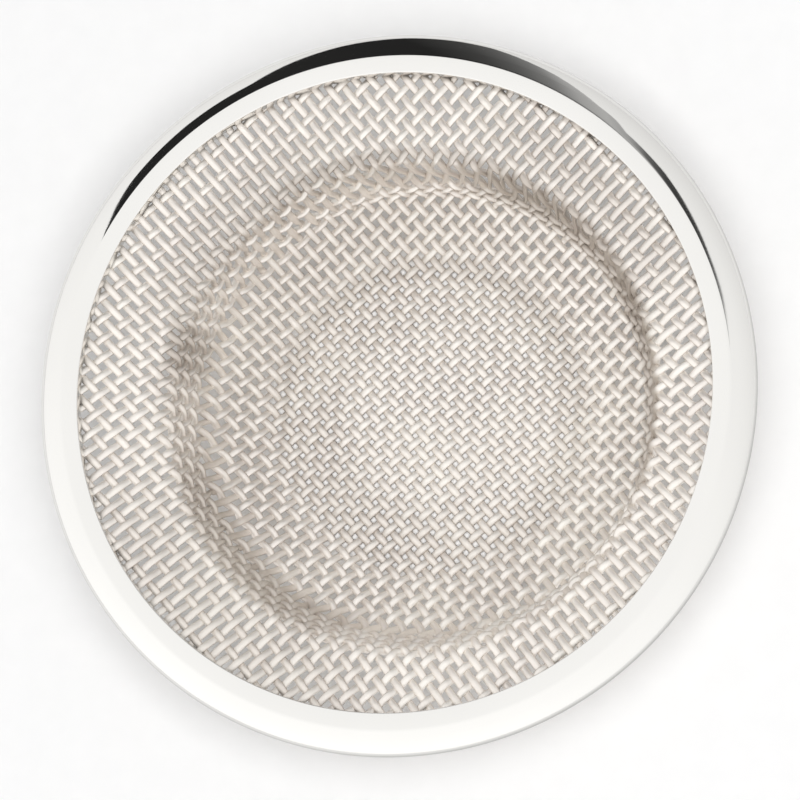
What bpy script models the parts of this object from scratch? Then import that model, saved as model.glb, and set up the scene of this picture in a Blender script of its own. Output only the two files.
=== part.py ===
"""Shower drain strainer: a drawn wire-cloth basket held in the folded edge of a sheet steel ring.

The ring is one strip of polished sheet with a flat lip, rolled over and folded back under itself.
The cloth is plain weave, drawn down to a flange, a steep step, a sloping wall and a flat base.
Every second wire of the cloth is built, each as a piece of its own, passing over and under the
wires that cross it. The basket sits a little off the ring's middle, as it was pressed by hand.
Lengths are in metres and +Z is up. The origin lies below the ring's middle, level with the base's underside.
"""

import math

import bpy
import numpy
from mathutils import Vector

# Rim ring
rim_diameter = 0.0700
rim_width = 0.0041
lip_width = 0.0017
lip_rise = 0.00025
rim_sheet = 0.0004
hem_width = 0.0016
rim_steps = 64
side_points = 9
fold_points = 6

# Wire cloth
wire_diameter = 0.0005
wire_pitch = 0.00254
weave_angle = math.radians(41.0)
clearance = 0.0003
bend_steps = 6

# Drawn shape of the cloth, from the ring down to the base
flange_width = 0.0069
flange_drop = 0.0020
step_width = 0.0017
step_drop = 0.0070
base_diameter = 0.0300
wall_drop = 0.0030
flange_bend = 0.0020
shoulder_bend = 0.0014
step_bend = 0.0025
base_bend = 0.0060
basket_offset = 0.0016
basket_side = math.radians(-35.0)

# Heights of the weave and of the slot that the folded ring leaves for it
weave_rise = (wire_diameter + clearance) / 2
weave_thickness = wire_diameter + 2 * weave_rise
slot_height = weave_thickness + 2 * clearance
fold_radius = slot_height / 2 + rim_sheet
cloth_height = weave_thickness / 2 + wall_drop + step_drop + flange_drop
seat_height = cloth_height - fold_radius

# Radii where the ring and the cloth change direction. The wires end inside the fold, clear of its bend
rim_radius = rim_diameter / 2
rim_opening = rim_radius - rim_width
ridge_radius = rim_opening + lip_width
fold_centre = rim_radius - fold_radius
wire_reach = fold_centre - wire_diameter
end_room = wire_diameter / 4
sag_limit = wire_diameter / 4
shoulder_radius = rim_opening - flange_width
step_radius = shoulder_radius - step_width
base_radius = base_diameter / 2


def rounded_path(corners, bends, arc_points=7, widest_share=0.48):
    """Points (radius, height, slope) along straight runs whose inner corners are rounded.

    A bend takes up at most its widest share of the shorter run beside it.
    """
    points = [(*corners[0], 0.0)]
    for before, corner, after, bend in zip(corners, corners[1:], corners[2:], bends):
        arriving = math.atan2(corner[1] - before[1], corner[0] - before[0])
        leaving = math.atan2(after[1] - corner[1], after[0] - corner[0])
        turn = leaving - arriving
        shortest = min(math.dist(before, corner), math.dist(corner, after))
        setback = min(bend * math.tan(abs(turn) / 2), widest_share * shortest)
        bend_radius = setback / math.tan(abs(turn) / 2)
        side = math.copysign(1.0, turn)
        centre_radius = corner[0] - setback * math.cos(arriving) - side * bend_radius * math.sin(arriving)
        centre_height = corner[1] - setback * math.sin(arriving) + side * bend_radius * math.cos(arriving)
        for step in range(arc_points):
            slope = arriving + turn * step / (arc_points - 1)
            radius = centre_radius + side * bend_radius * math.sin(slope)
            height = centre_height - side * bend_radius * math.cos(slope)
            points.append((radius, height, slope))
    points.append((*corners[-1], 0.0))
    return points


# Height and slope of the drawn cloth against the distance from the middle
base_height = weave_thickness / 2
step_height = base_height + wall_drop
shoulder_height = step_height + step_drop
drawn_corners = [
    (0.0, base_height),
    (base_radius, base_height),
    (step_radius, step_height),
    (shoulder_radius, shoulder_height),
    (rim_opening, cloth_height),
    (rim_radius, cloth_height),
]
drawn_bends = [base_bend, step_bend, shoulder_bend, flange_bend]
drawn_radius, drawn_height, drawn_slope = zip(*rounded_path(drawn_corners, drawn_bends))


def level_ring(place, halvings=40):
    """Radius and middle of the level ring of the drawn shape that passes over a place.

    The basket's level rings share its middle, and the flange's run from there to the rim ring's middle.
    """
    basket_middle = Vector((math.cos(basket_side), math.sin(basket_side))) * basket_offset
    smallest = 0.0
    largest = rim_diameter
    for _ in range(halvings):
        radius = (smallest + largest) / 2
        share = float(numpy.interp(radius, [shoulder_radius, rim_opening], [1.0, 0.0]))
        middle = basket_middle * share
        if (place - middle).length > radius:
            smallest = radius
        else:
            largest = radius
    return radius, middle


def cloth_point(place, lift):
    """Point of the cloth over a place in plan, moved by lift along the cloth's normal."""
    radius, middle = level_ring(place)
    height = float(numpy.interp(radius, drawn_radius, drawn_height))
    slope = float(numpy.interp(radius, drawn_radius, drawn_slope))
    outward = (place - middle).normalized()
    inward_lift = lift * math.sin(slope)
    flat = place - outward * inward_lift
    return Vector((flat.x, flat.y, height + lift * math.cos(slope)))


def metal(name, colour, roughness):
    """A steel finish."""
    finish = bpy.data.materials.new(name)
    finish.use_nodes = True
    shader = finish.node_tree.nodes["Principled BSDF"]
    shader.inputs["Base Color"].default_value = (*colour, 1.0)
    shader.inputs["Metallic"].default_value = 1.0
    shader.inputs["Roughness"].default_value = roughness
    return finish


def rolled_side(inset):
    """A curve from the lip's ridge down to the widest part of the ring, at an inset from the outer face."""
    ridge = Vector((ridge_radius, cloth_height + fold_radius + lip_rise - inset))
    shoulder = Vector((rim_radius - inset, cloth_height + fold_radius - inset))
    side = Vector((rim_radius - inset, cloth_height))
    shares = [step / side_points for step in range(side_points + 1)]
    return [tuple(ridge * (1 - u) ** 2 + shoulder * 2 * u * (1 - u) + side * u ** 2) for u in shares]


def lower_quarter(radius):
    """A round arc from just under the widest part of the ring down to the hem."""
    arc = []
    for step in range(1, fold_points):
        angle = -math.pi / 2 * step / (fold_points - 1)
        arc.append((fold_centre + radius * math.cos(angle), cloth_height + radius * math.sin(angle)))
    return arc


def lip_edge(inset):
    """The inner edge of the lip, turned down to the cloth, at an inset from the outer face."""
    radius = rim_opening + inset
    return [(radius, cloth_height + slot_height / 2), (radius, cloth_height + fold_radius + lip_rise - inset)]


def ring_section():
    """Outline of the folded sheet in (radius, height), going round once."""
    outer_skin = lip_edge(0.0) + rolled_side(0.0) + lower_quarter(fold_radius)
    hem_opening = fold_centre - hem_width
    hem = [(hem_opening, seat_height), (hem_opening, seat_height + rim_sheet)]
    inner_skin = lip_edge(rim_sheet) + rolled_side(rim_sheet) + lower_quarter(slot_height / 2)
    return outer_skin + hem + inner_skin[::-1]


def make_rim_ring(finish):
    """The polished ring, turned from its folded section."""
    section = ring_section()
    points = []
    faces = []
    for step in range(rim_steps):
        angle = math.tau * step / rim_steps
        points += [(r * math.cos(angle), r * math.sin(angle), z) for r, z in section]
    for step in range(rim_steps):
        here = step * len(section)
        there = (step + 1) % rim_steps * len(section)
        for k in range(len(section)):
            after = (k + 1) % len(section)
            faces.append((here + k, here + after, there + after, there + k))
    mesh = bpy.data.meshes.new("rim_ring")
    mesh.from_pydata(points, [], faces)
    mesh.materials.append(finish)
    mesh.shade_smooth()
    mesh.set_sharp_from_angle(angle=math.radians(40.0))
    ring = bpy.data.objects.new("rim_ring", mesh)
    bpy.context.collection.objects.link(ring)


def greatest_sag(heights):
    """How far any height lies off the straight line between its neighbours."""
    return max(abs(here - (before + after) / 2) for before, here, after in zip(heights, heights[1:], heights[2:]))


def wire_places(offset, across, along, crossings):
    """Positions along a wire: its ends, its crossings, and points between them where the cloth bends."""
    half = math.sqrt(wire_reach ** 2 - offset ** 2)
    inside = [v for v in crossings if math.hypot(offset, v) < wire_reach - end_room]
    stops = [-half] + inside + [half]
    places = [stops[0]]
    for start, end in zip(stops, stops[1:]):
        fine = [start + (end - start) * k / bend_steps for k in range(bend_steps + 1)]
        heights = [cloth_point(across * offset + along * v, 0.0).z for v in fine]
        if greatest_sag(heights) > sag_limit:
            places += fine[1:]
        elif greatest_sag(heights[::bend_steps // 2]) > sag_limit:
            places += [fine[bend_steps // 2], end]
        else:
            places.append(end)
    return places


def make_wire(name, offset, first_side, across, along, crossings, finish):
    """One wire of the cloth, passing over and under the wires that cross it."""
    curve = bpy.data.curves.new(name, "CURVE")
    curve.dimensions = "3D"
    curve.bevel_depth = wire_diameter / 2
    curve.bevel_resolution = 0
    curve.use_fill_caps = True
    places = wire_places(offset, across, along, crossings)
    spline = curve.splines.new("POLY")
    spline.points.add(len(places) - 1)
    spline.use_smooth = True
    for point, v in zip(spline.points, places):
        swing = first_side * math.sin(math.pi * v / wire_pitch)
        place = cloth_point(across * offset + along * v, weave_rise * swing)
        point.co = (*place, 1.0)
    curve.materials.append(finish)
    wire = bpy.data.objects.new(name, curve)
    bpy.context.collection.objects.link(wire)


def make_cloth(finish):
    """Warp and weft wires at right angles, numbered outwards on both sides of the middle."""
    count = round(wire_reach / wire_pitch - 0.5)
    offsets = [(k + 0.5) * wire_pitch for k in range(-count, count)]
    warp_way = Vector((math.cos(weave_angle), math.sin(weave_angle)))
    weft_way = Vector((-math.sin(weave_angle), math.cos(weave_angle)))
    for k, offset in zip(range(-count, count), offsets):
        place = f"right_{k + 1:02d}" if k >= 0 else f"left_{-k:02d}"
        side = 1 if k % 2 == 0 else -1
        make_wire(f"warp_{place}", offset, side, weft_way, warp_way, offsets, finish)
        make_wire(f"weft_{place}", offset, -side, warp_way, weft_way, offsets, finish)


for old in list(bpy.data.objects):
    bpy.data.objects.remove(old)

polished_steel = metal("polished_steel", (0.86, 0.85, 0.83), 0.08)
wire_steel = metal("wire_steel", (0.74, 0.72, 0.69), 0.32)
make_rim_ring(polished_steel)
make_cloth(wire_steel)
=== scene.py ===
"""Looks of the shower drain strainer: woven steel wire drawn into a basket, held in a polished ring.

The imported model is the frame. Lengths are in metres and +Z is up, as there.
"""

import math

import bmesh
import bpy
from mathutils import Matrix, Vector


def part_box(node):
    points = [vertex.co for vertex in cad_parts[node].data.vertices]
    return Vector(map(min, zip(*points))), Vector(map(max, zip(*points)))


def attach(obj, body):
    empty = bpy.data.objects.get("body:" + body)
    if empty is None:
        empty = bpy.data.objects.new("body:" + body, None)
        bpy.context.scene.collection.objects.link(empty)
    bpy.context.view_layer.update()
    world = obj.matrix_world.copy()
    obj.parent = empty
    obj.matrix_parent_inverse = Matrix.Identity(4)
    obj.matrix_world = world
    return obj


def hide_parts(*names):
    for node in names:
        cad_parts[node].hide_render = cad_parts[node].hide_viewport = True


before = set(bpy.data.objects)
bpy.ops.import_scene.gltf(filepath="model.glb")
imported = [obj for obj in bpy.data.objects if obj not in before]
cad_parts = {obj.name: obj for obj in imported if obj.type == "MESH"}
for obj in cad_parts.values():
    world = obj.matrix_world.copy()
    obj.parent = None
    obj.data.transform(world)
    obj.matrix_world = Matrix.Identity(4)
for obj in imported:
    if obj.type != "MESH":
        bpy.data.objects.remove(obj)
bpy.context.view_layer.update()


# Drawn shape of the cloth
# The basket is pressed from one flat disc of wire cloth, so every wire follows the same drawn shape:
# an almost flat flange under the ring, a deep step, a sloping wall and a flat base, with rounded bends.
# The hand-pressed basket sits a little off the ring's middle and its step leans out on one side.

flange_width = 0.0069
flange_drop = 0.0020
step_width = 0.0017
step_drop = 0.0070
wire_thickness = 0.00036
base_radius = 0.0150
drawn_bends = (0.0060, 0.0025, 0.0014, 0.0020)
basket_offset = Vector((0.00131, -0.00092))
step_lean = Vector((0.00095, 0.00080))
former_margin = 0.002
former_spacing = 0.0005
former_sides = 128

ring_foot, ring_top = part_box("rim_ring")
rim_radius = ring_top.x
rim_width = 0.0041
rim_opening = rim_radius - rim_width
fold_radius = 0.00135
cloth_height = ring_foot.z + fold_radius
step_height = cloth_height - flange_drop - step_drop
base_height = wire_thickness
shoulder_height = cloth_height - flange_drop
shoulder_radius = rim_opening - flange_width
step_radius = shoulder_radius - step_width


def rounded_path(corners, bends, arc_points=9, widest_share=0.48):
    """Points (radius, height) along straight runs whose inner corners are rounded by arcs.

    A bend takes up at most its widest share of the shorter run beside it.
    """
    points = [corners[0]]
    for before, corner, after, bend in zip(corners, corners[1:], corners[2:], bends):
        arriving = math.atan2(corner[1] - before[1], corner[0] - before[0])
        leaving = math.atan2(after[1] - corner[1], after[0] - corner[0])
        turn = leaving - arriving
        shortest = min(math.dist(before, corner), math.dist(corner, after))
        setback = min(bend * math.tan(abs(turn) / 2), widest_share * shortest)
        bend_radius = setback / math.tan(abs(turn) / 2)
        side = math.copysign(bend_radius, turn)
        centre_radius = corner[0] - setback * math.cos(arriving) - side * math.sin(arriving)
        centre_height = corner[1] - setback * math.sin(arriving) + side * math.cos(arriving)
        for step in range(arc_points):
            slope = arriving + turn * step / (arc_points - 1)
            radius = centre_radius + side * math.sin(slope)
            points.append((radius, centre_height - side * math.cos(slope)))
    points.append(corners[-1])
    return points


def evenly_spaced(path, spacing):
    """The path with extra points so that none lie further apart than the spacing."""
    points = [path[0]]
    for start, end in zip(path, path[1:]):
        pieces = max(1, math.ceil(math.dist(start, end) / spacing))
        for k in range(1, pieces + 1):
            points.append((start[0] + (end[0] - start[0]) * k / pieces,
                           start[1] + (end[1] - start[1]) * k / pieces))
    return points


def ring_centre(radius):
    """Middle of one level ring of the drawn shape: off the rim's middle, leaning at the step's foot.

    Each mark holds a radius, the share of the basket's offset there and the share of the step's lean.
    """
    marks = [
        (0.0, 1.0, 0.0),
        (base_radius, 1.0, 0.1),
        (step_radius, 1.0, 1.0),
        (shoulder_radius, 1.0, 0.0),
        (rim_opening, 0.0, 0.0),
        (rim_radius + former_margin, 0.0, 0.0),
    ]
    for (inner, off, lean), (outer, next_off, next_lean) in zip(marks, marks[1:]):
        if radius <= outer:
            share = (radius - inner) / (outer - inner)
            break
    offset_share = off + (next_off - off) * share
    lean_share = lean + (next_lean - lean) * share
    return basket_offset * offset_share + step_lean * lean_share


def make_former():
    """The drawn shape as a smooth sheet, which the wires are laid on and which isn't kept."""
    corners = [
        (0.0, base_height),
        (base_radius, base_height),
        (step_radius, step_height),
        (shoulder_radius, shoulder_height),
        (rim_opening, cloth_height),
        (rim_radius + former_margin, cloth_height),
    ]
    meridian = evenly_spaced(rounded_path(corners, drawn_bends), former_spacing)[1:]
    turns = [math.tau * k / former_sides for k in range(former_sides)]
    sheet = bmesh.new()
    middle = sheet.verts.new((*ring_centre(0.0), base_height))
    rings = []
    for radius, height in meridian:
        centre = ring_centre(radius)
        rings.append([
            sheet.verts.new((centre.x + radius * math.cos(a), centre.y + radius * math.sin(a), height))
            for a in turns
        ])
    for k in range(former_sides):
        after = (k + 1) % former_sides
        sheet.faces.new((middle, rings[0][k], rings[0][after]))
        for inner, outer in zip(rings, rings[1:]):
            sheet.faces.new((inner[k], outer[k], outer[after], inner[after]))
    mesh = bpy.data.meshes.new("former")
    sheet.to_mesh(mesh)
    sheet.free()
    former = bpy.data.objects.new("former", mesh)
    bpy.context.scene.collection.objects.link(former)
    return former


former = make_former()


# Warp wires
# Straight drawn wires of bright stainless steel, 1.2 mm apart on the base and further apart by the ring,
# where the press stretched the cloth. Each passes over one weft wire and under the next.
# Their cut ends lie hidden inside the folded edge of the ring.

wire_spacing = 0.00122
wire_width = 0.00076
wire_stretch = 4.8e-10
wire_count = 27
wire_sides = 8
steps_per_crossing = 5
step_cloth = 0.0032
wire_wander = 0.00025
wander_scale = 70.0
wander_seed = 4.0
warp_angle = math.radians(41.0)
wire_reach = rim_radius - fold_radius
press_height = 0.1

wire_metal = 0.74
wire_shade_scale = 0.9
along_one_wire = 0.03
patch_scale = 90.0
darkest_wire = 0.86
brightest_wire = 1.07
least_dull_wire = 0.85
dullest_wire = 1.15
draw_mark_scale = 6000.0
draw_mark_strength = 0.15
draw_mark_depth = 0.00002

# Painted shade on the wires, in bands at the base's foot, over the step, on the flange and along the
# cloth's edge under the lip:
# centre, azimuth and half spread in degrees, radius, half width, shade kept
ring_middle = Vector((0.0, 0.0))
painted_shade_marks = [
    (basket_offset, 110, 110, base_radius + 0.0004, 0.0014, 0.88),
    (basket_offset, 180, 180, base_radius - 0.0030, 0.0045, 0.92),
    (basket_offset, 355, 90, base_radius - 0.0006, 0.0026, 0.92),
    (basket_offset, 140, 110, base_radius + 0.0045, 0.0044, 0.93),
    (basket_offset, 5, 34, shoulder_radius - 0.0011, 0.0013, 0.68),
    (basket_offset, 48, 40, shoulder_radius - 0.0005, 0.0016, 0.66),
    (basket_offset, 98, 34, shoulder_radius + 0.0005, 0.0008, 0.80),
    (basket_offset, 222, 38, shoulder_radius - 0.0012, 0.0020, 0.74),
    (basket_offset, 140, 62, shoulder_radius + 0.0003, 0.0014, 0.82),
    (basket_offset, 48, 34, shoulder_radius + 0.0032, 0.0030, 0.88),
    (basket_offset, 228, 42, shoulder_radius + 0.0040, 0.0050, 0.89),
    (basket_offset, 135, 34, shoulder_radius + 0.0026, 0.0024, 0.89),
    (basket_offset, 182, 32, shoulder_radius - 0.0012, 0.0014, 0.91),
    (basket_offset, 166, 8, shoulder_radius - 0.0005, 0.0019, 0.79),
    (ring_middle, 60, 75, rim_opening + 0.0001, 0.0006, 0.72),
]

# The painted shade is full over its core, fades to its edges, and is painted browner: it keeps less
# green and still less blue
shade_spread_core = 0.3
shade_width_core = 0.4
shade_tint = (1.0, 1.09, 1.18)


def add_node(tree, kind, inputs=None, **settings):
    """A node of a tree, with its settings and its inputs, each a value or another node's socket."""
    node = tree.nodes.new(kind)
    for name, value in settings.items():
        setattr(node, name, value)
    for name, value in (inputs or {}).items():
        if isinstance(value, bpy.types.NodeSocket):
            tree.links.new(value, node.inputs[name])
        else:
            node.inputs[name].default_value = value
    return node


def maths(tree, operation, first, second=0.0):
    """The result of one sum on two numbers."""
    return add_node(tree, "ShaderNodeMath", {0: first, 1: second}, operation=operation).outputs[0]


def vectors(tree, operation, first, second=(0.0, 0.0, 0.0)):
    """The result of one sum on two vectors, which is a number for a length or a dot product."""
    node = add_node(tree, "ShaderNodeVectorMath", {0: first, 1: second}, operation=operation)
    return node.outputs["Value" if operation in ("LENGTH", "DOT_PRODUCT") else "Vector"]


def scaled(tree, vector, factor):
    """A vector times a number."""
    node = add_node(tree, "ShaderNodeVectorMath", {0: vector, "Scale": factor}, operation="SCALE")
    return node.outputs["Vector"]


def shape_tree(name, inputs):
    """A node tree that makes a shape, with its named inputs, and the socket of each of them."""
    tree = bpy.data.node_groups.new(name, "GeometryNodeTree")
    tree.is_modifier = True
    tree.interface.new_socket("Geometry", in_out="INPUT", socket_type="NodeSocketGeometry")
    for label, kind in inputs.items():
        tree.interface.new_socket(label, in_out="INPUT", socket_type=f"NodeSocket{kind}")
    tree.interface.new_socket("Geometry", in_out="OUTPUT", socket_type="NodeSocketGeometry")
    return tree, tree.nodes.new("NodeGroupInput").outputs


def wandering(tree, place, given, what, detail):
    """A small vector that wanders from place to place, as far as the tree's inputs for it say."""
    noise = add_node(tree, "ShaderNodeTexNoise", {
        "Vector": place, "W": given["Seed"], "Scale": given[f"{what} scale"], "Detail": detail,
    }, noise_dimensions="4D").outputs["Color"]
    return scaled(tree, vectors(tree, "SUBTRACT", noise, (0.5, 0.5, 0.5)), given[what])


def end_tree(tree, geometry, material):
    """Closes a tree: copies made real, shaded smooth, with its material."""
    real = add_node(tree, "GeometryNodeRealizeInstances", {"Geometry": geometry}).outputs[0]
    smooth = add_node(tree, "GeometryNodeSetShadeSmooth", {"Geometry": real}).outputs[0]
    dressed = add_node(tree, "GeometryNodeSetMaterial", {"Geometry": smooth, "Material": material})
    tree.links.new(dressed.outputs[0], tree.nodes.new("NodeGroupOutput").inputs[0])


def stretched_place(tree, number, given):
    """Distance from the middle for a wire number: even spacing that grows towards the ring."""
    growth = maths(tree, "MULTIPLY", maths(tree, "POWER", number, 4.0), given["Stretch"])
    return maths(tree, "MULTIPLY", number, maths(tree, "ADD", growth, given["Spacing"]))


def wire_family_tree():
    """One family of wires, laid side by side, waved over and under, and pressed onto the former."""
    tree, given = shape_tree("wire_family", {
        "Former": "Object", "Wires each side": "Int", "Steps per crossing": "Int",
        "Spacing": "Float", "Stretch": "Float", "Lay angle": "Float", "First side": "Float",
        "Wire width": "Float", "Wire thickness": "Float", "Sides of a wire": "Int", "Reach": "Float",
        "Wander": "Float", "Wander scale": "Float", "Seed": "Float",
        "Basket middle": "Vector", "Step foot": "Float", "Step top": "Float", "Step cloth": "Float",
        "Press height": "Float", "Material": "Material",
    })
    last = given["Wires each side"]
    first = maths(tree, "MULTIPLY", last, -1.0)
    crossings = maths(tree, "MULTIPLY", last, 2.0)
    start = add_node(tree, "ShaderNodeCombineXYZ", {"X": first}).outputs[0]
    end = add_node(tree, "ShaderNodeCombineXYZ", {"X": last}).outputs[0]
    straight = add_node(tree, "GeometryNodeCurvePrimitiveLine", {"Start": start, "End": end}).outputs[0]
    steps = maths(tree, "MULTIPLY", crossings, given["Steps per crossing"])
    stepped = add_node(tree, "GeometryNodeResampleCurve",
                       {"Curve": straight, "Count": maths(tree, "ADD", steps, 1.0)}).outputs[0]
    lowest = add_node(tree, "ShaderNodeCombineXYZ", {"Y": first}).outputs[0]
    starts = add_node(tree, "GeometryNodeMeshLine", {
        "Count": maths(tree, "ADD", crossings, 1.0), "Start Location": lowest,
        "Offset": (0.0, 1.0, 0.0),
    }).outputs[0]
    copies = add_node(tree, "GeometryNodeInstanceOnPoints",
                      {"Points": starts, "Instance": stepped}).outputs[0]
    laid = add_node(tree, "GeometryNodeRealizeInstances", {"Geometry": copies}).outputs[0]

    place = add_node(tree, "GeometryNodeInputPosition").outputs[0]
    numbered = add_node(tree, "GeometryNodeStoreNamedAttribute", {
        "Geometry": laid, "Name": "weave_place", "Value": place,
    }, data_type="FLOAT_VECTOR").outputs[0]
    parts = add_node(tree, "ShaderNodeSeparateXYZ", {"Vector": place}).outputs
    flat = add_node(tree, "ShaderNodeCombineXYZ", {
        "X": stretched_place(tree, parts["X"], given),
        "Y": stretched_place(tree, parts["Y"], given),
    }).outputs[0]
    turned = add_node(tree, "ShaderNodeVectorRotate", {"Vector": flat, "Angle": given["Lay angle"]},
                      rotation_type="Z_AXIS").outputs[0]
    outward = vectors(tree, "SUBTRACT", turned, given["Basket middle"])
    taken = add_node(tree, "ShaderNodeMapRange", {
        "Value": vectors(tree, "LENGTH", outward), "From Min": given["Step foot"],
        "From Max": maths(tree, "ADD", given["Step top"], given["Step cloth"]),
        "To Min": 0.0, "To Max": given["Step cloth"],
    }).outputs[0]
    inward = scaled(tree, vectors(tree, "NORMALIZE", outward), taken)
    drawn_in = vectors(tree, "SUBTRACT", turned, inward)
    wander = wandering(tree, turned, given, "Wander", 2.0)
    sideways = vectors(tree, "MULTIPLY", wander, (1.0, 1.0, 0.0))
    spread = add_node(tree, "GeometryNodeSetPosition", {
        "Geometry": numbered, "Position": vectors(tree, "ADD", drawn_in, sideways),
    }).outputs[0]
    too_far = maths(tree, "GREATER_THAN", vectors(tree, "LENGTH", place), given["Reach"])
    cut = add_node(tree, "GeometryNodeDeleteGeometry",
                   {"Geometry": spread, "Selection": too_far}).outputs[0]

    height = add_node(tree, "ShaderNodeCombineXYZ", {"Z": given["Press height"]}).outputs[0]
    above = vectors(tree, "ADD", place, height)
    sheet = add_node(tree, "GeometryNodeObjectInfo", {"Object": given["Former"]}).outputs["Geometry"]
    facing = add_node(tree, "GeometryNodeInputNormal").outputs[0]
    pressed = add_node(tree, "GeometryNodeRaycast", {
        "Target Geometry": sheet, "Attribute": facing, "Source Position": above, "Ray Length": 1.0,
    }, data_type="FLOAT_VECTOR").outputs
    number = add_node(tree, "GeometryNodeInputNamedAttribute", {"Name": "weave_place"},
                      data_type="FLOAT_VECTOR").outputs["Attribute"]
    waves = scaled(tree, number, math.pi)
    along, across = add_node(tree, "ShaderNodeSeparateXYZ", {"Vector": waves}).outputs[:2]
    swing = maths(tree, "MULTIPLY", maths(tree, "COSINE", along), maths(tree, "COSINE", across))
    half_thickness = maths(tree, "MULTIPLY", given["Wire thickness"], 0.5)
    rise = maths(tree, "MULTIPLY", half_thickness, given["First side"])
    lift = maths(tree, "MULTIPLY", swing, rise)
    waved = add_node(tree, "GeometryNodeSetPosition", {
        "Geometry": cut, "Position": pressed["Hit Position"],
        "Offset": scaled(tree, vectors(tree, "NORMALIZE", pressed["Attribute"]), lift),
    }).outputs[0]
    upright = add_node(tree, "GeometryNodeSetCurveNormal", {"Curve": waved}, mode="Z_UP").outputs[0]
    circle = add_node(tree, "GeometryNodeCurvePrimitiveCircle",
                      {"Resolution": given["Sides of a wire"], "Radius": 0.5}).outputs[0]
    size = add_node(tree, "ShaderNodeCombineXYZ",
                    {"X": given["Wire width"], "Y": given["Wire thickness"], "Z": 1.0}).outputs[0]
    section = add_node(tree, "GeometryNodeTransform", {"Geometry": circle, "Scale": size}).outputs[0]
    wires = add_node(tree, "GeometryNodeCurveToMesh",
                     {"Curve": upright, "Profile Curve": section, "Fill Caps": True}).outputs[0]
    end_tree(tree, wires, given["Material"])
    return tree


def set_inputs(modifier, values):
    """Gives a modifier's tree its inputs, found by name and set by their identifiers."""
    for item in modifier.node_group.interface.items_tree:
        if item.in_out == "INPUT" and item.name in values:
            modifier[item.identifier] = values[item.name]


def made_piece(name, tree, values, base=None):
    """A piece whose tree has run, as a plain mesh with its faces pointing out."""
    piece = bpy.data.objects.new(name, base or bpy.data.meshes.new(name))
    bpy.context.scene.collection.objects.link(piece)
    modifier = piece.modifiers.new(name, "NODES")
    modifier.node_group = tree
    set_inputs(modifier, values)
    bpy.context.view_layer.update()
    graph = bpy.context.evaluated_depsgraph_get()
    mesh = bpy.data.meshes.new_from_object(piece.evaluated_get(graph))
    piece.modifiers.clear()
    closed = bmesh.new()
    closed.from_mesh(mesh)
    bmesh.ops.recalc_face_normals(closed, faces=closed.faces)
    closed.to_mesh(mesh)
    closed.free()
    mesh.name = name
    piece.data = mesh
    return piece


def new_finish(name):
    """A finish, its node tree and its shader."""
    finish = bpy.data.materials.new(name)
    finish.use_nodes = True
    return finish, finish.node_tree, finish.node_tree.nodes["Principled BSDF"]


def soft_noise(tree, place, scale, detail):
    """A level from 0 to 1 that changes softly from place to place."""
    return add_node(tree, "ShaderNodeTexNoise",
                    {"Vector": place, "Scale": scale, "Detail": detail}).outputs["Fac"]


def toned(tree, level, darkest, brightest, span=(0.3, 0.7)):
    """A colour that runs from the darkest to the brightest while a level runs over its span."""
    tones = add_node(tree, "ShaderNodeValToRGB", {"Fac": level})
    for element, position, colour in zip(tones.color_ramp.elements, span, (darkest, brightest)):
        element.position = position
        element.color = (*colour, 1.0)
    return tones.outputs["Color"]


def set_dullness(tree, shader, level, least, most, span=(0.35, 0.7)):
    """Gives a shader the least to the most roughness while a level runs over its span."""
    roughness = add_node(tree, "ShaderNodeMapRange", {
        "Value": level, "From Min": span[0], "From Max": span[1], "To Min": least, "To Max": most,
    }).outputs[0]
    tree.links.new(roughness, shader.inputs["Roughness"])


def set_marks(tree, shader, level, strength, depth):
    """Gives a shader fine marks, as deep as a level says."""
    marks = add_node(tree, "ShaderNodeBump",
                     {"Height": level, "Strength": strength, "Distance": depth}).outputs[0]
    tree.links.new(marks, shader.inputs["Normal"])


def painted_shade_kept(tree, place):
    """How much of each of its colours the wire keeps under the painted shade, which is also painted
    browner.
    """
    flat = vectors(tree, "MULTIPLY", place, (1.0, 1.0, 0.0))
    kept = 1.0
    for centre, azimuth, spread, middle, reach, shade in painted_shade_marks:
        outward = vectors(tree, "SUBTRACT", flat, (*centre, 0.0))
        radius = vectors(tree, "LENGTH", outward)
        turn = vectors(tree, "NORMALIZE", outward)
        facing = (math.cos(math.radians(azimuth)), math.sin(math.radians(azimuth)), 0.0)
        beside = add_node(tree, "ShaderNodeMapRange", {
            "Value": vectors(tree, "DOT_PRODUCT", turn, facing),
            "From Min": math.cos(math.radians(spread)),
            "From Max": math.cos(math.radians(spread * shade_spread_core)),
            "To Min": 0.0, "To Max": 1.0 - shade,
        }, interpolation_type="SMOOTHSTEP").outputs[0]
        away = maths(tree, "ABSOLUTE", maths(tree, "SUBTRACT", radius, middle))
        level = add_node(tree, "ShaderNodeMapRange", {
            "Value": away, "From Min": reach * shade_width_core, "From Max": reach,
            "To Min": 1.0, "To Max": 0.0,
        }, interpolation_type="SMOOTHSTEP").outputs[0]
        lost = maths(tree, "MULTIPLY", beside, level)
        kept = maths(tree, "MULTIPLY", kept, maths(tree, "SUBTRACT", 1.0, lost))
    red, green, blue = [maths(tree, "POWER", kept, power) for power in shade_tint]
    return add_node(tree, "ShaderNodeCombineXYZ", {"X": red, "Y": green, "Z": blue}).outputs[0]


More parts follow.
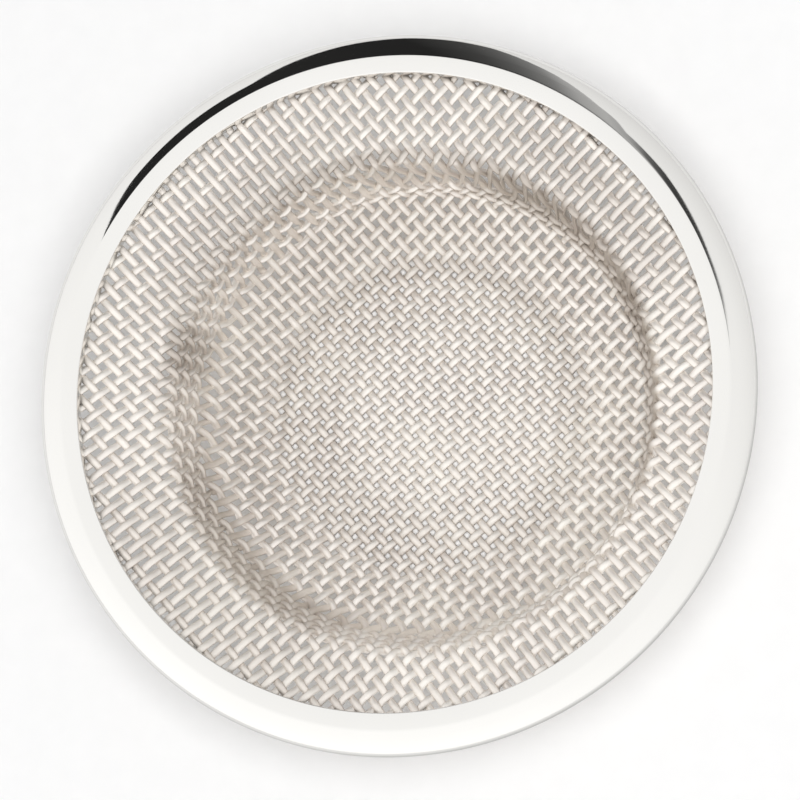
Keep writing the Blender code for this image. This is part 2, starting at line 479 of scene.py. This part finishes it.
def wire_finish(name, colour, roughness):
    """Bright drawn steel wire: each wire a shade of its own, with faint draw marks, dull patches and
    painted shade in bands over the basket.
    """
    finish, tree, shader = new_finish(name)
    shader.inputs["Metallic"].default_value = wire_metal
    place = add_node(tree, "ShaderNodeTexCoord").outputs["Object"]
    weave = add_node(tree, "ShaderNodeAttribute", attribute_name="weave_place").outputs["Vector"]
    one_wire = vectors(tree, "MULTIPLY", weave, (along_one_wire, 1.0, 0.0))
    wire_shade = soft_noise(tree, one_wire, wire_shade_scale, 2.0)
    patches = soft_noise(tree, place, patch_scale, 3.0)
    halves = [maths(tree, "MULTIPLY", noise, 0.5) for noise in (wire_shade, patches)]
    darkest = [c * darkest_wire for c in colour]
    brightest = [min(1.0, c * brightest_wire) for c in colour]
    steel = toned(tree, maths(tree, "ADD", *halves), darkest, brightest)
    # The wires' colour is darkened here by the painted shade.
    shaded = vectors(tree, "MULTIPLY", steel, painted_shade_kept(tree, place))
    tree.links.new(shaded, shader.inputs["Base Color"])
    set_dullness(tree, shader, patches, roughness * least_dull_wire, roughness * dullest_wire)
    fine = soft_noise(tree, place, draw_mark_scale, 2.0)
    set_marks(tree, shader, fine, draw_mark_strength, draw_mark_depth)
    return finish


wire_tree = wire_family_tree()
wire_values = {
    "Former": former, "Wires each side": wire_count, "Steps per crossing": steps_per_crossing,
    "Spacing": wire_spacing, "Stretch": wire_stretch, "Wire width": wire_width,
    "Wire thickness": wire_thickness, "Sides of a wire": wire_sides, "Reach": wire_reach,
    "Wander": wire_wander, "Wander scale": wander_scale, "Seed": wander_seed,
    "Basket middle": (*basket_offset, 0.0), "Step foot": step_radius, "Step top": shoulder_radius,
    "Step cloth": step_cloth, "Press height": press_height,
}
warp_finish = wire_finish("warp_steel", (0.97, 0.905, 0.85), 0.46)
warp_values = {"Lay angle": warp_angle, "First side": 1.0, "Material": warp_finish}
warp_wires = made_piece("warp_wires", wire_tree, wire_values | warp_values)
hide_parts(*[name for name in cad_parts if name.startswith("warp_")])
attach(warp_wires, "root")


# Weft wires
# The same wire laid square across the warp, under where the warp goes over.
# A little of the loom's oil and handling left them a shade warmer than the warp.

weft_finish = wire_finish("weft_steel", (0.96, 0.89, 0.83), 0.48)
weft_values = {"Lay angle": warp_angle + math.pi / 2, "First side": -1.0, "Material": weft_finish}
weft_wires = made_piece("weft_wires", wire_tree, wire_values | weft_values)
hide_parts(*[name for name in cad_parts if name.startswith("weft_")])
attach(weft_wires, "root")
bpy.data.objects.remove(former)


# Rim ring
# One strip of stainless sheet with a flat lip, a low ridge and an outer side that rolls down and under
# the cloth's edge, polished bright. Its inner edge is turned down onto the cloth.
# It is rolled by hand, so it waves very slightly all the way round.

sheet_thickness = 0.0004
lip_width = 0.0017
lip_rise = ring_top.z - cloth_height
lip_fall = 0.00006
lip_bend = 0.00015
ridge_bend = 0.0012
ridge_slope = math.radians(13.0)
hem_width = 0.0016
cloth_gap = 0.00005
side_points = 36
ridge_points = 6
fold_points = 16
ring_steps = 320
ring_wave = 0.00010
wave_scale = 1.5
wave_seed = 2.0
# Painted shade on the rolled side: the colour kept at its widest part, and how far the darker band
# reaches up and down.
painted_edge_kept = 0.42
painted_edge_reach = 0.0007
smear_scale = 60.0
smear_shade = 0.97
least_dull_rim = 0.7
dullest_rim = 1.5
wheel_mark_scale = 9000.0
wheel_mark_strength = 0.05
wheel_mark_depth = 0.00001
fold_centre = rim_radius - fold_radius
ridge_radius = rim_opening + lip_width
side_width = rim_radius - ridge_radius
side_bend_height = lip_rise - side_width * math.tan(ridge_slope)


def side_point(share):
    """Radius and height on the rolled side, from the ridge at 0 to the upright widest part at 1."""
    start = Vector((ridge_radius, lip_rise))
    bend = Vector((rim_radius, side_bend_height))
    end = Vector((rim_radius, 0.0))
    return start * (1 - share) ** 2 + bend * 2 * share * (1 - share) + end * share ** 2


def outer_skin():
    """Points of the outer face of the folded sheet, from its turned-down inner edge to the hem."""
    side = [tuple(side_point(k / side_points)) for k in range(1, side_points + 1)]
    corners = [
        (rim_opening, wire_thickness + cloth_gap),
        (rim_opening, lip_rise - lip_fall),
        (ridge_radius, lip_rise),
        side[ridge_points],
    ]
    points = rounded_path(corners, (lip_bend, ridge_bend)) + side[ridge_points + 1:]
    for k in range(1, fold_points + 1):
        angle = -math.pi / 2 * k / fold_points
        points.append((fold_centre + fold_radius * math.cos(angle), fold_radius * math.sin(angle)))
    points.append((fold_centre - hem_width, -fold_radius))
    return points


def inner_skin(outer):
    """The other face of the sheet, one thickness inside the outer face."""
    points = []
    for k, here in enumerate(outer):
        before = outer[max(k - 1, 0)]
        after = outer[min(k + 1, len(outer) - 1)]
        way = (Vector(after) - Vector(before)).normalized()
        points.append((here[0] + way.y * sheet_thickness, here[1] - way.x * sheet_thickness))
    return points


def rounded_edge(start, end, points=6):
    """Points of a half circle between the two faces of the sheet at a cut edge."""
    middle = (Vector(start) + Vector(end)) / 2
    arm = Vector(start) - middle
    turns = [Matrix.Rotation(-math.pi * k / points, 2) for k in range(1, points)]
    return [tuple(middle + turn @ arm) for turn in turns]


def ring_section():
    """The folded section as one closed loop of edges, measured down and out from the fold's centre."""
    outer = outer_skin()
    inner = inner_skin(outer)[::-1]
    loop = outer + rounded_edge(outer[-1], inner[0]) + inner + rounded_edge(inner[-1], outer[0])
    mesh = bpy.data.meshes.new("ring_section")
    points = [(radius - fold_centre, -height, 0.0) for radius, height in loop]
    mesh.from_pydata(points, [(k, (k + 1) % len(loop)) for k in range(len(loop))], [])
    return mesh


def swept_ring_tree():
    """A section swept round a circle, then waved a little."""
    tree, given = shape_tree("swept_ring", {
        "Ring radius": "Float", "Height": "Float", "Steps": "Int",
        "Wave": "Float", "Wave scale": "Float", "Seed": "Float", "Material": "Material",
    })
    circle = add_node(tree, "GeometryNodeCurvePrimitiveCircle",
                      {"Resolution": given["Steps"], "Radius": given["Ring radius"]}).outputs[0]
    section = add_node(tree, "GeometryNodeMeshToCurve", {"Mesh": given["Geometry"]}).outputs[0]
    swept = add_node(tree, "GeometryNodeCurveToMesh",
                     {"Curve": circle, "Profile Curve": section}).outputs[0]
    place = add_node(tree, "GeometryNodeInputPosition").outputs[0]
    way = vectors(tree, "NORMALIZE", vectors(tree, "MULTIPLY", place, (1.0, 1.0, 0.0)))
    wave = wandering(tree, way, given, "Wave", 1.0)
    lift = add_node(tree, "ShaderNodeCombineXYZ", {"Z": given["Height"]}).outputs[0]
    moved = add_node(tree, "GeometryNodeSetPosition",
                     {"Geometry": swept, "Offset": vectors(tree, "ADD", wave, lift)}).outputs[0]
    end_tree(tree, moved, given["Material"])
    return tree


def polished_finish(name, colour, roughness):
    """Polished steel: faint rings from the wheel, soft smears, and painted shade: a darker band of
    colour round the side's widest part, for the grey edge it mirrors.
    """
    finish, tree, shader = new_finish(name)
    shader.inputs["Metallic"].default_value = 1.0
    place = add_node(tree, "ShaderNodeTexCoord").outputs["Object"]
    smears = soft_noise(tree, place, smear_scale, 3.0)
    steel = toned(tree, smears, [c * smear_shade for c in colour], colour)
    height = add_node(tree, "ShaderNodeSeparateXYZ", {"Vector": place}).outputs["Z"]
    from_widest = maths(tree, "ABSOLUTE", maths(tree, "SUBTRACT", height, cloth_height))
    # Painted shade: the colour is darkened in a band round the side's widest part.
    painted_edge_shade = add_node(tree, "ShaderNodeMapRange", {
        "Value": from_widest, "From Min": 0.0, "From Max": painted_edge_reach,
        "To Min": painted_edge_kept, "To Max": 1.0,
    }, interpolation_type="SMOOTHSTEP").outputs[0]
    tree.links.new(scaled(tree, steel, painted_edge_shade), shader.inputs["Base Color"])
    set_dullness(tree, shader, smears, roughness * least_dull_rim, roughness * dullest_rim)
    flat = vectors(tree, "MULTIPLY", place, (1.0, 1.0, 0.0))
    rings = add_node(tree, "ShaderNodeTexNoise", {
        "W": vectors(tree, "LENGTH", flat), "Scale": wheel_mark_scale, "Detail": 2.0,
    }, noise_dimensions="1D").outputs["Fac"]
    set_marks(tree, shader, rings, wheel_mark_strength, wheel_mark_depth)
    return finish


rim_ring = made_piece("polished_rim", swept_ring_tree(), {
    "Ring radius": fold_centre, "Height": cloth_height, "Steps": ring_steps,
    "Wave": ring_wave, "Wave scale": wave_scale, "Seed": wave_seed,
    "Material": polished_finish("polished_steel", (0.83, 0.82, 0.795), 0.06),
}, ring_section())
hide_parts("rim_ring")
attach(rim_ring, "root")


# Table
# A pale matt tabletop that the basket's base rests on.
# It is far wider than the view, and keeps the strainer's shadow.

table_width = 3.0
table_grain = 400.0
table_shade = 0.95


def make_table():
    """A plain square of tabletop with a faint grain in its white."""
    half = table_width / 2
    corners = [(-half, -half, 0), (half, -half, 0), (half, half, 0), (-half, half, 0)]
    mesh = bpy.data.meshes.new("table")
    mesh.from_pydata(corners, [], [(0, 1, 2, 3)])
    table = bpy.data.objects.new("table", mesh)
    bpy.context.scene.collection.objects.link(table)
    finish, tree, shader = new_finish("table_white")
    place = add_node(tree, "ShaderNodeTexCoord").outputs["Object"]
    grain = soft_noise(tree, place, table_grain, 4.0)
    white = toned(tree, grain, [table_shade] * 3, [1.0] * 3, (0.0, 1.0))
    tree.links.new(white, shader.inputs["Base Color"])
    shader.inputs["Roughness"].default_value = 1.0
    shader.inputs["Specular IOR Level"].default_value = 0.0
    mesh.materials.append(finish)
    return table


make_table()


# Camera
# It looks down on the strainer from a little to the near right, through a long lens.
# The picture's tones are shown as they are.

camera_lean = math.radians(15.0)
camera_side = math.radians(-38.0)
camera_lens = 150.0
view_width = 0.07656
aim_right = 0.00078
aim_down = 0.00093


def make_camera():
    """The camera, leaned over from straight above and aimed a little off the ring's middle."""
    data = bpy.data.cameras.new("camera")
    data.lens = camera_lens
    camera = bpy.data.objects.new("camera", data)
    bpy.context.scene.collection.objects.link(camera)
    hinge = Vector((-math.sin(camera_side), math.cos(camera_side), 0.0))
    lean = Matrix.Rotation(camera_lean, 4, hinge)
    distance = view_width * camera_lens / data.sensor_width
    target = Vector((0.0, 0.0, cloth_height))
    back = Matrix.Translation((aim_right, -aim_down, distance))
    camera.matrix_world = Matrix.Translation(target) @ lean @ back
    bpy.context.scene.camera = camera
    return camera


camera = make_camera()
bpy.context.scene.view_settings.view_transform = "Standard"


# Light
# A white tent lights the strainer and the table from all round, with a broad soft lamp overhead.
# The lamp shows in no mirror: it lights the table and the matt share of the wires.
# A dark card stands close behind, curved round the far side, and shows only where it is mirrored.

tent_light = 0.42
tent_tilt = (-0.09, -0.21, 0.06)
tent_lift = 0.06
lamp_strength = 0.61
lamp_place = (0.25, -0.20, 1.2)
lamp_width = 0.9


def make_tent():
    """The white surroundings: white where they are seen, softer as light, and mirrored with a tilt."""
    world = bpy.data.worlds.new("tent")
    world.use_nodes = True
    tree = world.node_tree
    rays = add_node(tree, "ShaderNodeLightPath").outputs
    seen = maths(tree, "MAXIMUM", rays["Is Camera Ray"], rays["Is Glossy Ray"])
    seen = maths(tree, "MAXIMUM", seen, rays["Is Transmission Ray"])
    way = add_node(tree, "ShaderNodeTexCoord").outputs["Generated"]
    near_side = maths(tree, "ADD", vectors(tree, "DOT_PRODUCT", way, tent_tilt), tent_lift)
    mirrored = maths(tree, "MULTIPLY", rays["Is Glossy Ray"], near_side)
    strength = maths(tree, "ADD", maths(tree, "MULTIPLY", seen, 1.0 - tent_light), tent_light)
    strength = maths(tree, "ADD", strength, mirrored)
    white = tree.nodes["Background"]
    white.inputs["Color"].default_value = (1.0, 1.0, 1.0, 1.0)
    tree.links.new(strength, white.inputs["Strength"])
    bpy.context.scene.world = world


def make_lamp():
    """The overhead lamp, as strong at the table as its share of full white."""
    data = bpy.data.lights.new("overhead", "AREA")
    data.shape = "SQUARE"
    data.size = lamp_width
    spread = lamp_width ** 2 + math.pi * Vector(lamp_place).length ** 2
    data.energy = lamp_strength * math.pi * spread
    lamp = bpy.data.objects.new("overhead", data)
    lamp.location = lamp_place
    lamp.rotation_mode = "QUATERNION"
    lamp.rotation_quaternion = lamp.location.to_track_quat("Z", "Y")
    lamp.visible_glossy = False
    bpy.context.scene.collection.objects.link(lamp)


# The card's foot as far directions that the rim's side mirrors: azimuth and elevation in degrees, grey
card_foot = [
    (148, 38.5, 0.02), (145, 34.5, 0.02), (140, 31, 0.02), (132, 29, 0.02), (123, 31, 0.02),
    (116, 20, 0.02), (108, 9, 0.02), (100, 3, 0.02), (92, 4, 0.06), (87, 8, 0.12), (82, 20, 0.22),
    (78, 27, 0.40), (73, 40, 0.50), (69, 48, 0.40), (65, 49, 0.14), (60, 50, 0.06), (55, 52, 0.05),
    (50, 54, 0.06), (45, 56, 0.08), (41, 57, 0.14), (37, 58, 0.25), (33, 60, 0.45), (30, 62, 0.80),
]
card_top = 65
far_distance = 0.6
card_radius = 0.050
least_slope = math.radians(6.5)
card_steps = 4
card_rows = 8
search_rounds = 12


def far_point(azimuth, elevation):
    """Point at the far distance, at an azimuth and elevation in degrees."""
    turn = math.radians(azimuth)
    rise = math.radians(elevation)
    level = math.cos(rise)
    way = Vector((level * math.cos(turn), level * math.sin(turn), math.sin(rise)))
    return way * far_distance + Vector((0.0, 0.0, cloth_height))


def mirroring_place(target):
    """Place on the ring's rolled side that mirrors a target into the camera, and the side's slope."""
    seen_from = camera.matrix_world.translation
    place = Vector((0.0, 0.0, cloth_height))
    for _ in range(search_rounds):
        normal = (target - place).normalized() + (seen_from - place).normalized()
        slope = math.atan2(normal.xy.length, normal.z)
        steeper = max(math.tan(slope) - math.tan(ridge_slope), 0.0)
        ratio = steeper * side_width / side_bend_height
        radius, height = side_point(ratio / (1 + ratio))
        place = Vector((*(normal.xy.normalized() * radius), cloth_height + height))
    return place, slope


def top_elevation(azimuth, low):
    """Elevation of the card's top, lower where the rim would mirror it from too near the lip."""
    high = card_top
    if mirroring_place(far_point(azimuth, high))[1] >= least_slope:
        return high
    for _ in range(search_rounds):
        middle = (low + high) / 2
        if mirroring_place(far_point(azimuth, middle))[1] < least_slope:
            high = middle
        else:
            low = middle
    return low


def card_point(azimuth, elevation):
    """Point of the card that the rim mirrors from the same place as a far point at these angles."""
    target = far_point(azimuth, elevation)
    place = mirroring_place(target)[0]
    way = target - place
    along = place.xy.dot(way.xy)
    whole = way.xy.length_squared
    room = card_radius ** 2 - place.xy.length_squared
    share = (math.sqrt(along ** 2 + whole * room) - along) / whole
    return place + way * share


def make_card():
    """The card, seen only by mirror rays, with its shade painted along it."""
    sheet = bmesh.new()
    shade = sheet.verts.layers.float.new("shade")
    columns = []
    for here, there in zip(card_foot, card_foot[1:]):
        for step in range(card_steps):
            share = step / card_steps
            columns.append([a + (b - a) * share for a, b in zip(here, there)])
    columns.append(card_foot[-1])
    strips = []
    for azimuth, low, grey in columns:
        strip = []
        top = top_elevation(azimuth, low)
        for step in range(card_rows + 1):
            vert = sheet.verts.new(card_point(azimuth, low + (top - low) * step / card_rows))
            vert[shade] = grey
            strip.append(vert)
        strips.append(strip)
    for here, there in zip(strips, strips[1:]):
        for k in range(card_rows):
            sheet.faces.new((here[k], there[k], there[k + 1], here[k + 1]))
    mesh = bpy.data.meshes.new("dark_card")
    sheet.to_mesh(mesh)
    sheet.free()
    card = bpy.data.objects.new("dark_card", mesh)
    bpy.context.scene.collection.objects.link(card)
    card.visible_camera = False
    card.visible_diffuse = False
    card.visible_shadow = False
    card.visible_transmission = False
    finish, tree, shader = new_finish("card_grey")
    tree.nodes.remove(shader)
    painted = add_node(tree, "ShaderNodeAttribute", attribute_name="shade").outputs["Fac"]
    glow = add_node(tree, "ShaderNodeEmission", {"Color": painted}).outputs[0]
    tree.links.new(glow, tree.nodes["Material Output"].inputs["Surface"])
    mesh.materials.append(finish)
    return card


make_card()
make_tent()
make_lamp()
